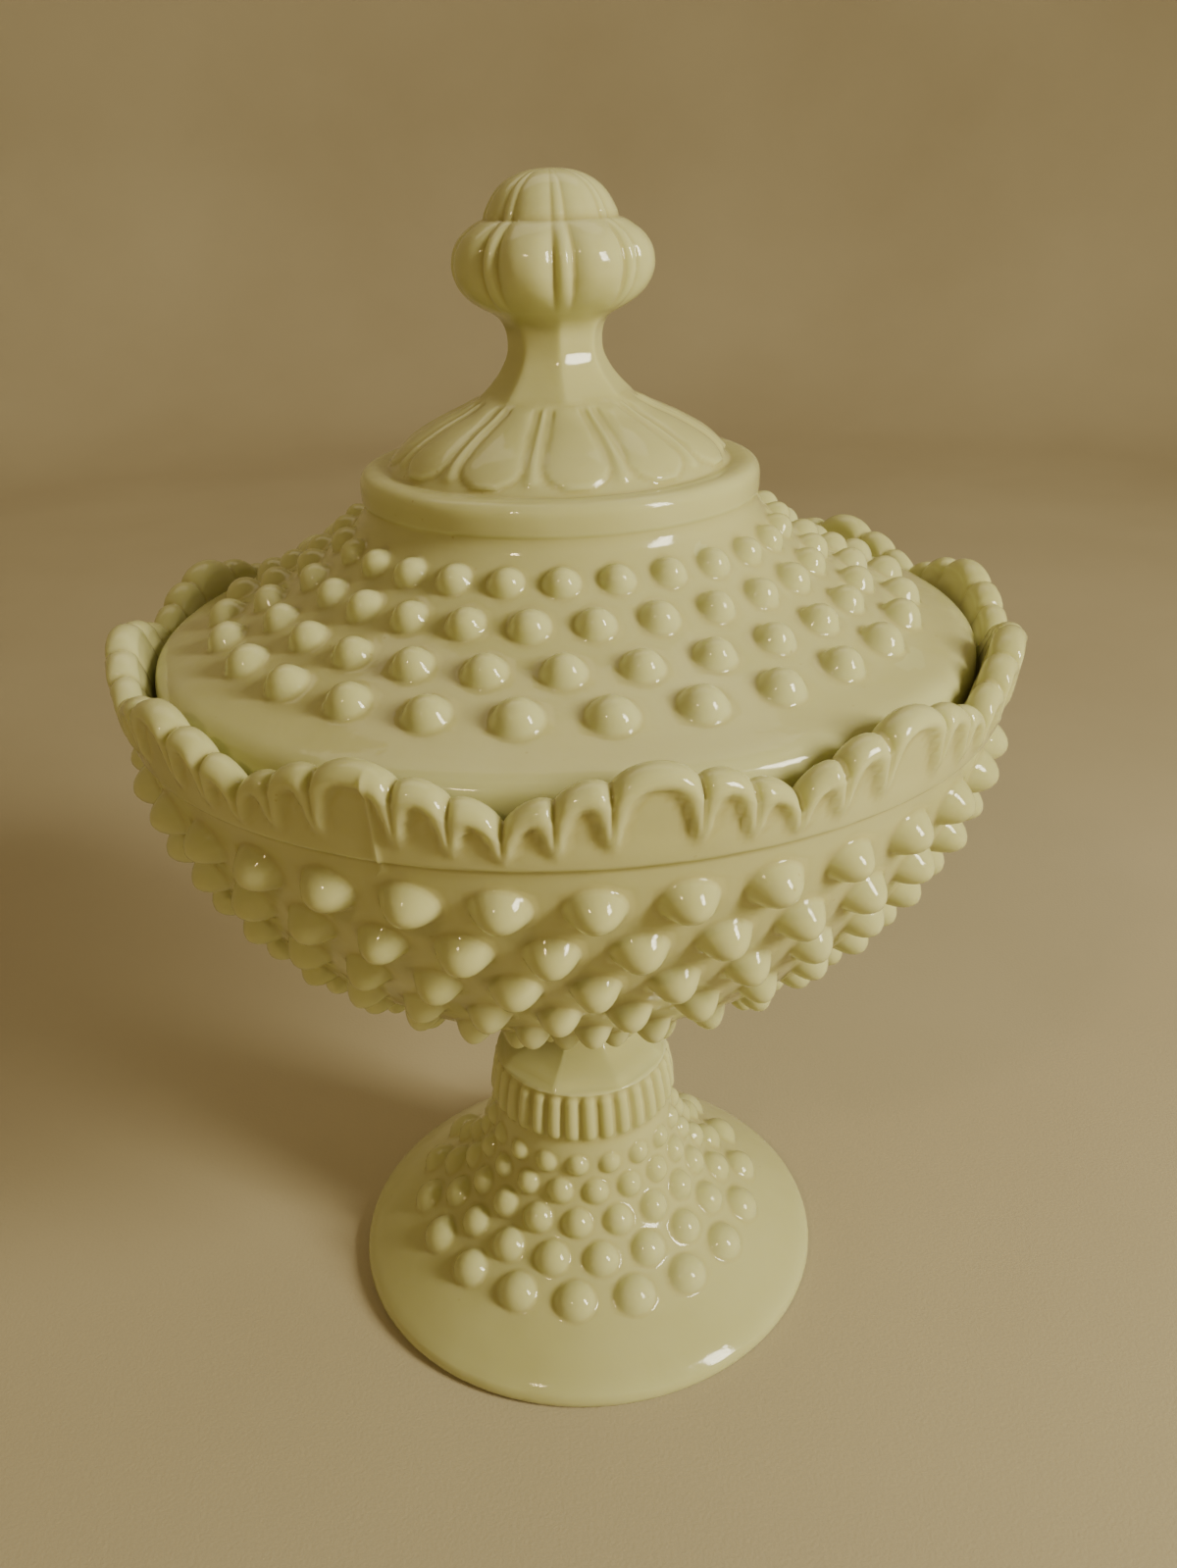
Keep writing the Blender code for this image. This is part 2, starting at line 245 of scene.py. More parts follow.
# ---------------------------------------------------------------- hobs
# Rounding of one hob, from its foot to near its tip: (share of its half sizes, share of its stand-out).
CONE_HOB = np.array([
    (1.06, 0.0), (0.99, 0.07), (0.92, 0.21), (0.79, 0.44), (0.62, 0.67), (0.41, 0.86), (0.18, 0.965),
])
ROUND_CONE_HOB = np.array([
    (1.09, 0.0), (1.0, 0.07), (0.93, 0.20), (0.82, 0.41), (0.67, 0.64), (0.47, 0.84), (0.24, 0.96),
])
DOME_HOB = np.array([
    (1.12, 0.0), (1.01, 0.07), (0.92, 0.26), (0.77, 0.54), (0.54, 0.81), (0.24, 0.965),
])
CELL_STEPS = 6                          # mesh steps across one hob's cell
CELL_HALF = CELL_STEPS // 2
SIDE_STEPS = 4                          # mesh steps up its side
WEAVE = 0.13                            # how far a row's edge waves, as a share of the row's height
SIZE_SPREAD, LIFT_SPREAD = 0.025, 0.03  # random variation from hob to hob
CELL_BOTTOM = 270                       # direction of a cell's bottom from its centre, in degrees


def cell_outline(low_s, high_s, side_s, centre_s, half_width):
    """A cell's edge as seen from its centre, across and up in mm: from bottom left, round by the right."""
    along = np.arange(-CELL_HALF, CELL_HALF + 1) * half_width / CELL_HALF
    side = np.ones(SIDE_STEPS - 1)
    x = np.concatenate([along, along[-1] * side, along[::-1], along[0] * side])
    y = np.concatenate([low_s, side_s, high_s[::-1], side_s[::-1]]) - centre_s
    return x, y


def add_hobs(skin, profile, centre_s, centres, outline, size, style):
    """One row's hobs, each as loops of points and a tip. The first loop is halfway to its cell's edge."""
    wide, tall, stand = size
    edge_x, edge_y = outline
    count, spokes = len(centres), len(edge_x)
    angles = np.radians(CELL_BOTTOM + (np.arange(spokes) - CELL_HALF) * 360.0 / spokes)
    normal_r, normal_z = profile.outward(centre_s)
    centre_r, centre_z = profile.at(centre_s)
    mm_per_degree = centre_r * math.pi / 180
    base = np.radians(centres)[:, None]
    grow = 1 + SIZE_SPREAD * rng.standard_normal(count)
    lift = 1 + LIFT_SPREAD * rng.standard_normal(count)
    loops = []
    for n, (share, height) in enumerate(np.vstack([[style[0]], style])):
        x = wide * share * np.cos(angles)
        y = tall * share * np.sin(angles)
        if n == 0:
            x, y = (x + edge_x) / 2, (y + edge_y) / 2
        growth = grow[:, None] if n else np.ones((count, 1))
        r, z = profile.at(centre_s + y[None, :] * growth)
        a = np.radians(centres[:, None] + x[None, :] * growth / mm_per_degree)
        up = stand * height * lift[:, None]
        loops.append(skin.add(np.stack([
            r * np.sin(a) + up * normal_r * np.sin(base),
            -r * np.cos(a) - up * normal_r * np.cos(base),
            z + up * normal_z,
        ], -1)).reshape(count, spokes))
    up = stand * lift
    tips = skin.ring(centres, centre_r + up * normal_r, centre_z + up * normal_z)
    return loops, tips


def fill_cell(skin, rim, loops, tip):
    """Faces from a cell's rim in to its hob's tip."""
    last = rim
    for loop in loops:
        skin.join(last, loop)
        last = loop
    skin.fan(last, tip)


def hob_rows(winder, profile, knots, sizes, count, phase, style):
    """Rows of hobs between the knots, each set half a pitch round from the one before.

    sizes are (half width, half height, stand-out), and style is the rounding of one hob.
    """
    skin = winder.skin
    total = CELL_STEPS * count
    columns = turn_columns(total, phase)
    turns = np.arange(total) / CELL_STEPS
    reach = np.arange(-CELL_HALF, CELL_HALF + 1)        # one cell's columns, from its middle one

    def woven(s, span, shift, sign):
        """Lengths, radii and heights of a ring that waves up and down past the hobs."""
        lengths = s + sign * WEAVE * span * np.cos(2 * np.pi * (turns - shift))
        return (lengths, *profile.at(lengths))

    low_s, r, z = woven(knots[0], knots[1] - knots[0], 0.0, -1.0)
    winder.to(columns, r, z)
    for row, size in enumerate(sizes):
        shift = 0.5 * (row % 2)
        centre_s = (knots[row] + knots[row + 1]) / 2
        high_s, r, z = woven(knots[row + 1], knots[row + 1] - knots[row], shift, 1.0)
        low, high = winder.ids, skin.ring(columns, r, z)
        middles = (CELL_STEPS * np.arange(count) + int(round(CELL_STEPS * shift))) % total
        edges = (middles + CELL_HALF) % total
        low_edge, high_edge = low_s[edges[0]], high_s[edges[0]]
        side_s = low_edge + (high_edge - low_edge) * np.arange(1, SIDE_STEPS) / SIDE_STEPS
        sides = [skin.ring(columns[edges], *profile.at(s)) for s in side_s]
        first_cell = (middles[0] + reach) % total
        half_width = 180.0 / count * profile.at(centre_s)[0] * math.pi / 180
        outline = cell_outline(low_s[first_cell], high_s[first_cell], side_s, centre_s, half_width)
        loops, tips = add_hobs(skin, profile, centre_s, columns[middles], outline, size, style)
        for k in range(count):
            cell = (middles[k] + reach) % total
            rim = [low[i] for i in cell] + [side[k] for side in sides]
            rim += [high[i] for i in reversed(cell)] + [side[k - 1] for side in reversed(sides)]
            fill_cell(skin, rim, [loop[k] for loop in loops], tips[k])
        low_s = high_s
        winder.ids = high
    winder.degrees = columns


# ---------------------------------------------------------------- footed bowl
BASE_R = 47.0                           # rim of the flat ring that the dish stands on
FOOT_PROFILE = [
    (BASE_R, 0.0), (48.1, 0.25), (48.75, 1.1), (48.85, 2.1), (48.3, 3.5), (46.0, 5.3), (41.9, 8.2),
    (37.6, 10.9), (31.2, 15.7), (25.7, 20.7), (22.0, 26.1), (19.6, 31.4), (18.5, 36.7),
    (18.15, 38.2), (18.05, 39.0),
]
FOOT_EDGE_KNOT, FOOT_FIRST_BAND = 4, 7  # given points where the edge's rounding ends and the hobs begin
FOOT_HOB_SIZES = [
    (4.2, 3.9, 2.6), (3.6, 3.4, 2.4), (3.1, 3.0, 2.2), (2.7, 2.6, 1.9), (2.35, 2.3, 1.6),
]
FOOT_STEPS = (12, 6, 2)                 # rings round the edge, up to the hobs, and above them
FOOT_GAPS = (1.2, 0.9)                  # plain length left below the first row of hobs, and above the last
BASE_RING = (46.0, 43.7, 41.3)          # radii across the flat ring
RECESS = [
    (40.5, 0.2), (39.6, 1.6), (36.7, 4.9), (30.9, 9.6), (25.0, 14.3), (19.2, 18.1), (11.0, 21.2),
    (5.0, 22.1),
]
RECESS_STEPS, RECESS_TOP = 14, 22.3

BEAD_PROFILE = [
    (18.05, 39.0), (18.1, 39.8), (18.2, 42.0), (17.85, 45.0), (17.25, 48.0), (17.2, 49.6), (17.7, 50.4),
]
BEAD_HEIGHT = 1.15                      # how far a bead stands out
BEAD_HALF = 0.37                        # half its width, in pitches
BEAD_END_WIDTH = 0.55                   # width of its ends, as a share
BEAD_LOW_END, BEAD_HIGH_END = (0.3, 1.9), (2.0, 0.4)        # where its ends round off, from each end
BEAD_COLUMNS, BEAD_STEPS = 10, 16       # columns to a bead, and rings
BEAD_START = 0.05

STEM_PROFILE = [
    (17.75, 50.5), (17.5, 51.0), (16.6, 51.75), (14.9, 52.6), (12.8, 53.7), (10.6, 55.4), (9.4, 57.5),
    (9.0, 60.0), (9.4, 62.8), (11.0, 66.2), (14.2, 69.2), (19.0, 71.8), (26.0, 74.4),
]
STEM_FLATS_END = (0.6, 0.85)            # the flats fade out between these shares of the stem's length
STEM_SEAM = (0.25, 1.6)                 # height of the seam there, and its width in degrees
STEM_COLUMNS, STEM_STEPS, STEM_GAP = 160, 26, 1.0
FLATS_SOFTNESS = 0.012                  # rounding of the edges between flats
FLATS_MARGIN = 1.2                      # how far those edges keep inside the circle, in softnesses

BOWL_PROFILE = [
    (26.0, 74.4), (33.0, 78.0), (41.9, 83.2), (50.5, 89.2), (57.9, 96.4),
    (64.1, 104.5), (69.0, 113.1), (72.5, 121.7), (74.6, 130.3), (75.0, 132.4),
]
BOWL_HOB_SIZES = [
    (2.1, 2.0, 2.2), (2.6, 2.5, 2.7), (3.1, 3.0, 3.2), (3.55, 3.4, 3.6),
    (3.95, 3.65, 3.9), (4.3, 3.75, 4.1), (4.5, 3.8, 4.1),
]
BOWL_STEPS, BOWL_GAP = 4, 1.8           # rings below the first row of hobs, and plain length left there
BOWL_INSIDE = [
    (67.2, SEAT_Z), (67.0, 133.6), (66.9, 127.0), (65.3, 119.0), (62.0, 111.0), (56.8, 103.2),
    (50.0, 96.0), (41.5, 89.4), (30.5, 83.9), (17.0, 80.3), (7.0, 79.3),
]
INSIDE_COLUMNS, INSIDE_STEPS, BOWL_FLOOR = 96, 28, 79.15

LEDGE = [(74.92, 131.95), (74.98, 132.4), (75.15, 132.85), (75.6, 133.0), (76.0, 133.2), (76.2, 133.55)]
# crown scallops: (degrees, mesh steps, height of the top), and the heights of the notches beside them
SCALLOPS = [(5.1, 9, 143.2), (5.5, 10, 145.9), (8.8, 15, 147.9), (5.5, 10, 145.9), (5.1, 9, 143.2)]
DIPS = [139.8, 142.9, 144.8, 144.8, 142.9, 139.8]
LEG_FEET = [134.2, 135.2, 136.2, 136.2, 135.2, 134.2]       # where the ropes' legs below the notches end
RISE_SPREAD = 0.03                      # random variation from scallop to scallop
EVEN_COLUMNS = 0.4                      # share of even spacing; the rest crowds columns at the notches
SEAM_COLUMNS = (-0.35, -0.12, 0.12, 0.35)       # extra columns beside a seam, in degrees from it
CROWN_SEAM = (0.42, 0.32)               # height of the seam there, and its width in degrees
CROWN_BASE = (76.3, 133.9)              # foot of the crown's outer face
CROWN_LEAN = 0.155                      # how far the outer face leans out, over its height
CROWN_ROWS = (0.0, 0.07, 0.15, 0.24, 0.34, 0.44, 0.54, 0.64, 0.74, 0.83, 0.92, 1.0)
CROWN_INNER = (73.3, 71.7)              # radius of the inner face, at the top and at its foot
INNER_ROWS = (0.86, 0.68, 0.45, 0.2)
INNER_FOOT_Z = SEAT_Z + 1.2
TOP_ROUND = 2.3                         # height of the rounding over the crest
TOP_ANGLES = (14, 30, 46, 62, 78, 96, 114, 132, 150, 166, 180)
ARCH_POWER = 0.62                       # roundness of a scallop: 0.5 is a half ellipse
ARCH_TOP = 0.999                        # the arch is read no higher than this, over its rise
NOTCH_FILL = 0.16                       # how far the notches are filled, over the scallops' rise
TINY = 1e-3                             # keeps divisors off zero
ROPE = 0.85                             # how far the rope round each scallop stands out of the panel
ROPE_HALF, LEG_HALF = 1.3, 0.45         # half its width, and half the width of its leg's foot
LEG_GROWTH = 0.3                        # a leg widens from this far below its foot to this far above its top
LEG_FADE = (0.6, 2.6)                   # it rises from this far below its foot to this far above it
PANEL_SUNK = 0.3                        # how far the panels are sunk
PANEL_FADE, PANEL_EDGE = (1.0, 5.0), (0.3, 2.0)     # they sink in over these, up from the foot and sideways
TOP_ROPE = 0.55                         # how much of the rope the top keeps, as a share
PINCH_REACH, PINCH_SQUEEZE = 0.6, 0.5   # the top is thinner this close to a notch, and by how much
SEAT_COLUMNS = 120
SEAT_RINGS = [
    (CROWN_INNER[1], SEAT_Z + 0.7), (CROWN_INNER[1] - 0.15, SEAT_Z + 0.2),
    (CROWN_INNER[1] - 0.5, SEAT_Z), (68.2, SEAT_Z),
]


def crown_columns():
    """Seven numbers for every column of the crown.

    They are the angle, the crest's height, the arch's base line and rise, the place across the scallop
    (0 in its middle, 1 at a notch), its half width in mm, and the height where the nearer leg ends.
    """
    rows = []
    for major in range(MAJORS):
        turn = MAJOR_PHASE + 360.0 / MAJORS * (major - 0.5)
        for n, (width, steps, top) in enumerate(SCALLOPS):
            low, high = DIPS[n], DIPS[n + 1]
            rise = (top - (low + high) / 2) * (1 + RISE_SPREAD * rng.standard_normal())
            half_width = width / 2 * CROWN_R * math.pi / 180
            k = np.arange(steps) / steps
            crowded = (1 - np.cos(np.pi * k)) / 2
            shares = list(EVEN_COLUMNS * k + (1 - EVEN_COLUMNS) * crowded)
            for seam in SEAM_ANGLES:
                place = ((seam - turn) % 360) / width
                shares += [place + d / width for d in SEAM_COLUMNS if place < 1]
            for t in sorted(shares):
                x = 2 * t - 1
                line = low + (high - low) * t
                arch = math.hypot(max(0.0, 1 - x * x) ** ARCH_POWER, NOTCH_FILL)
                crest = line + rise * arch / math.hypot(1, NOTCH_FILL)
                foot = LEG_FEET[n] if x < 0 else LEG_FEET[n + 1]
                rows.append((turn + width * t, crest, line, rise, abs(x), half_width, foot))
            turn += width
    return np.array(rows).T


def add_crown(winder):
    """Scalloped crown: ropes round sunk panels, a rounded top, and a plain inside with the lid's seat."""
    degrees, crest, line, rise, x, half_width, foot = crown_columns()
    seam = seam_ridge(degrees, *CROWN_SEAM)
    for r, z in LEDGE:
        winder.to(degrees, r + seam, z)
    shoulder = crest - TOP_ROUND
    base_r, base_z = CROWN_BASE
    to_notch = (1 - x) * half_width

    def plain_face(z):
        return base_r + CROWN_LEAN * (z - base_z)

    def outer(z):
        """Radius of the outer face: a rope that follows the arch, the legs under it and the sunk panel."""
        up = np.clip((z - line) / rise, 0, ARCH_TOP)
        side = np.maximum(np.sqrt(1 - up ** (1 / ARCH_POWER)) - x, 0) * half_width + TINY
        below = np.maximum(crest - z, 0) + TINY
        inward = (side ** -2.0 + below ** -2.0) ** -0.5
        grown = smoothstep(z, foot - LEG_GROWTH, line + LEG_GROWTH)
        half = LEG_HALF + (ROPE_HALF - LEG_HALF) * grown
        rope = np.sqrt(np.clip(1 - ((inward - half) / half) ** 2, 0, 1))
        ridge = np.where(inward < half, 1 - grown + grown * rope, rope)
        stand = ROPE * smoothstep(z, foot - LEG_FADE[0], foot + LEG_FADE[1])
        sunk = PANEL_SUNK * (1 - ridge) * smoothstep(z, base_z + PANEL_FADE[0], base_z + PANEL_FADE[1])
        return plain_face(z) + stand * ridge - sunk * smoothstep(to_notch, *PANEL_EDGE)

    for v in CROWN_ROWS:
        z = base_z + (shoulder - base_z) * v
        winder.to(degrees, np.minimum(outer(z) + seam, CROWN_R), z)

    pinch = np.exp(-(to_notch / PINCH_REACH) ** 2)
    outer_top = np.maximum(outer(shoulder), plain_face(shoulder) + TOP_ROPE * ROPE)
    outer_top = np.minimum(outer_top, CROWN_R) - TOP_ROPE * ROPE * pinch
    inner_top, inner_foot = CROWN_INNER
    middle, half = (outer_top + inner_top) / 2, (outer_top - inner_top) / 2
    for a in np.radians(TOP_ANGLES):
        squeeze = PINCH_SQUEEZE * pinch * math.sin(a) * math.cos(a)
        lift = seam * math.cos(a) if math.cos(a) > 0 else 0.0
        radius = middle + half * math.cos(a) - squeeze + lift
        winder.to(degrees, np.minimum(radius, CROWN_R), shoulder + TOP_ROUND * math.sin(a))
    for v in INNER_ROWS:
        radius = inner_foot + (inner_top - inner_foot) * v * v
        winder.to(degrees, radius, INNER_FOOT_Z + (shoulder - INNER_FOOT_Z) * v)
    for r, z in SEAT_RINGS:
        winder.to(turn_columns(SEAT_COLUMNS), r, z)


def bead_rule(length):
    """Upright beads with round ends, and flat ground between them."""
    def rule(degrees, s, radius):
        x = apart(degrees, STEM_PHASE, 360.0 / BEADS)
        low_end = smoothstep(s, *BEAD_LOW_END)
        high_end = smoothstep(s, length - BEAD_HIGH_END[0], length - BEAD_HIGH_END[1])
        ends = low_end * (1 - high_end)
        half = BEAD_HALF * (BEAD_END_WIDTH + (1 - BEAD_END_WIDTH) * ends)
        return BEAD_HEIGHT * np.sqrt(np.clip(1 - (x / half) ** 2, 0, 1)) * ends
    return rule


def flats_rule(phase):
    """Turns a circle through the corners into rounded-edged flats."""
    half = math.radians(180.0 / FACETS)
    corner = np.exp(-(1 - FLATS_MARGIN * FLATS_SOFTNESS) / FLATS_SOFTNESS)

    def rule(degrees, s, radius):
        off = half - np.abs(apart(degrees, phase, 360.0 / FACETS)) * 2 * half
        flat = math.cos(half) / np.cos(off)
        return radius * (-FLATS_SOFTNESS * np.log(np.exp(-flat / FLATS_SOFTNESS) + corner) - 1)
    return rule


def build_footed_bowl(material):
    skin = Skin()
    foot = Profile(FOOT_PROFILE)
    foot_columns = turn_columns(CELL_STEPS * FOOT_HOBS, FOOT_PHASE)
    first = skin.ring(foot_columns, BASE_R, 0.0)
    winder = Winder(skin, first, foot_columns)
    edge_end = foot.knots[FOOT_EDGE_KNOT]
    bands = foot.knots[FOOT_FIRST_BAND:FOOT_FIRST_BAND + len(FOOT_HOB_SIZES) + 1]
    winder.along(foot, 0, edge_end, FOOT_STEPS[0], foot_columns)
    winder.along(foot, edge_end, bands[0] - FOOT_GAPS[0], FOOT_STEPS[1], foot_columns)
    hob_rows(winder, foot, bands, FOOT_HOB_SIZES, FOOT_HOBS, FOOT_PHASE, DOME_HOB)
    hobs_end = bands[-1] + FOOT_GAPS[1]
    winder.along(foot, hobs_end, foot.end, FOOT_STEPS[2], foot_columns, skip_first=False)

    bead = Profile(BEAD_PROFILE)
    columns = turn_columns(BEADS * BEAD_COLUMNS, STEM_PHASE)
    winder.along(bead, BEAD_START, bead.end, BEAD_STEPS, columns, bead_rule(bead.end))
    stem = Profile(STEM_PROFILE)
    flats = flats_rule(STEM_PHASE + 180.0 / FACETS)
    fade_start, fade_end = (share * stem.end for share in STEM_FLATS_END)

    def stem_rule(degrees, s, radius):
        kept = 1 - smoothstep(s, fade_start, fade_end)
        return flats(degrees, s, radius) * kept + seam_ridge(degrees, *STEM_SEAM)
    columns = turn_columns(STEM_COLUMNS, STEM_PHASE)
    winder.along(stem, 0, stem.end - STEM_GAP, STEM_STEPS, columns, stem_rule, skip_first=False)

    bowl = Profile(BOWL_PROFILE)
    columns = turn_columns(CELL_STEPS * BOWL_HOBS, BOWL_PHASE)
    bands = bowl.knots[1:len(BOWL_HOB_SIZES) + 2]
    winder.along(bowl, 0, bands[0] - BOWL_GAP, BOWL_STEPS, columns, skip_first=False)
    hob_rows(winder, bowl, bands, BOWL_HOB_SIZES, BOWL_HOBS, BOWL_PHASE, CONE_HOB)
    add_crown(winder)
    inside = Profile(BOWL_INSIDE)
    winder.along(inside, 0, inside.end, INSIDE_STEPS, turn_columns(INSIDE_COLUMNS), skip_first=False)
    skin.cap(winder.ids, BOWL_FLOOR)

    under = Winder(skin, first, foot_columns)
    for r in BASE_RING:
        under.to(foot_columns, r, 0.0)
    recess = Profile(RECESS)
    under.along(recess, 0, recess.end, RECESS_STEPS, foot_columns, skip_first=False)
    skin.cap(under.ids, RECESS_TOP)
    return skin.mesh("footed_bowl_glass", material)


# ---------------------------------------------------------------- lid
LID_LIP = [
    (62.2, 133.1), (62.35, 132.55), (62.9, 132.25), (64.5, 132.25), (65.1, 132.55), (65.35, 133.2),
    (65.4, 135.0),
]
LIP_STEPS, LIP_COLUMNS = 12, 144
REST_RADII = (65.5, 68.0)               # across the ring by which the lid rests
LID_PROFILE = [
    (70.2, SEAT_Z + SEAT_GAP), (70.85, 135.9), (71.15, 136.8), (71.2, 140.4), (70.6, 142.4),
    (69.0, 143.7), (66.0, 144.7), (62.7, 145.7), (54.6, 149.3), (46.7, 153.3), (39.9, 158.2),
    (34.9, 162.8), (33.75, 164.9), (33.6, 165.8), (33.62, 166.2),
]
LID_EDGE_KNOT, LID_FIRST_BAND = 4, 7    # given points where the edge's rounding ends and the hobs begin
LID_HOB_SIZES = [(3.8, 3.7, 3.1), (3.45, 3.3, 2.9), (3.15, 3.1, 2.6), (2.9, 2.75, 2.3)]
LID_STEPS = (12, 7, 7)                  # rings up the edge, up to the hobs, and above them
LID_GAPS = (1.2, 1.0)                   # plain length left below the first row of hobs, and above the last
COLLAR = [
    (33.62, 166.2), (33.78, 166.45), (33.85, 167.0), (33.85, 169.3), (33.6, 170.2), (33.0, 170.9),
    (31.9, 171.3), (30.4, 171.35), (29.4, 171.25), (28.9, 171.2), (28.5, 171.55),
]
COLLAR_STEPS = 34
CONE = [(28.5, 171.55), (27.6, 173.0), (25.0, 175.5), (20.2, 178.3), (15.8, 180.3), (12.9, 181.9)]
CONE_STEPS, CONE_START, PETAL_COLUMNS = 36, 0.5, 28
PETAL_WIDEST, PETAL_ROUND = 0.22, 0.19  # where a petal is widest, and its round foot's length, as shares
PETAL_HALF, PETAL_TAPER = 0.375, 0.105  # half its greatest width, and what it loses by its end, in pitches
PETAL_TAPER_POWER = 0.8
PETAL_STAND, PETAL_POWER = 0.85, 0.4    # how far it stands out, and the roundness of its section
PETAL_LEAST = 0.02                      # it vanishes below this half width
RIB_STAND = 0.75                        # how far the ribs between petals stand out
RIB_HALF, RIB_SPREAD = 0.05, 0.05       # half a rib's width, and what its foot adds
RIB_SPREAD_END, RIB_START = (0.05, 0.35), (0.03, 0.12)      # shares of the cone where each comes or goes
CONE_SUNK, CONE_SUNK_START = 0.45, 0.1  # how far the cone is sunk under them, from this share of it up
CONE_FADE = 0.9                         # petals and ribs fade out above this share of the cone

NECK = [
    (12.9, 181.9), (12.8, 182.3), (12.3, 182.8), (11.0, 184.1), (9.4, 186.1), (8.15, 188.6),
    (7.95, 190.8), (8.3, 192.7), (9.2, 194.3), (10.3, 195.1),
]
NECK_START, NECK_STEPS, FINIAL_COLUMNS = 0.1, 26, 32
NECK_FLATS_END = 0.8                    # the flats turn into lobes above this share of the neck
BALL = [
    (10.3, 195.1), (11.9, 195.9), (13.9, 197.2), (15.5, 198.9), (16.45, 200.9), (16.65, 202.6),
    (16.25, 204.6), (14.9, 206.6), (12.9, 208.1), (11.8, 208.7), (10.95, 208.95),
]
BALL_DEPTH = ([0, 0.1, 0.24, 0.40, 0.6, 0.8, 1.0], [0.0, 0.008, 0.05, 0.095, 0.105, 0.095, 0.05])
BALL_STEPS = 36
LOBE_SHARE = 0.39                       # half a lobe's share of its pitch; the rib takes the rest
LOBE_POWER, LOBE_RIB_POWER = 2.8, 0.6   # roundness of a lobe and of the rib
LOBE_RIB_RISE = 0.72                    # how far the rib rises out of the valley, over the valley's depth
FINIAL_DOME = [
    (10.85, 209.1), (10.7, 209.9), (10.15, 211.0), (9.3, 212.4), (8.0, 213.8), (6.2, 214.95),
    (4.0, 215.75), (2.0, 216.08), (0.8, 216.15),
]
DOME_DEPTH = (0.05, 0.02)               # depth of the valleys at its foot, and what its top adds
DOME_STEPS, FINIAL_TOP = 16, 216.17
LID_INSIDE = [
    (62.2, 133.1), (62.0, 137.8), (60.2, 140.9), (53.0, 144.6), (44.0, 148.8), (37.0, 153.4),
    (31.6, 158.2), (29.2, 163.3), (27.2, 167.4), (21.0, 171.8), (13.5, 175.6), (6.0, 177.6),
    (2.5, 177.9),
]
LID_INSIDE_STEPS, LID_CEILING = 40, 177.95


def petal_rule(length):
    """Raised teardrop petals with rounded feet, and thin ribs between them that spread at their feet."""
    def rule(degrees, s, radius):
        v = s / length
        x = apart(degrees, PETAL_PHASE, 360.0 / PETALS)
        if v < PETAL_WIDEST:
            half = PETAL_HALF * math.sqrt(max(0.0, 1 - ((PETAL_WIDEST - v) / PETAL_ROUND) ** 2))
        else:
            tapered = ((v - PETAL_WIDEST) / (1 - PETAL_WIDEST)) ** PETAL_TAPER_POWER
            half = PETAL_HALF - PETAL_TAPER * tapered
        inside = np.clip(1 - (x / max(half, TINY)) ** 2, 0, 1)
        petal = PETAL_STAND * inside ** PETAL_POWER if half > PETAL_LEAST else 0 * x
        rib_half = RIB_HALF + RIB_SPREAD * (1 - smoothstep(v, *RIB_SPREAD_END))
        rib = RIB_STAND * np.exp(-((0.5 - np.abs(x)) / rib_half) ** 2) * smoothstep(v, *RIB_START)
        sunk = CONE_SUNK * smoothstep(v, 0.0, CONE_SUNK_START)
        return (petal + rib - sunk) * (1 - smoothstep(v, CONE_FADE, 1.0))
    return rule


def lobe_rule(length, depth_of):
    """Rounded lobes with a raised rib between each two."""
    def rule(degrees, s, radius):
        x = np.abs(apart(degrees, FACET_PHASE + 180.0 / FACETS, 360.0 / FACETS))
        lobe = np.clip(x / LOBE_SHARE, 0, 1) ** LOBE_POWER
        rib = np.clip(1 - ((0.5 - x) / (0.5 - LOBE_SHARE)) ** 2, 0, 1) ** LOBE_RIB_POWER
        valley = np.where(x < LOBE_SHARE, lobe, 1 - LOBE_RIB_RISE * rib)
        return -radius * depth_of(s / length) * valley
    return rule


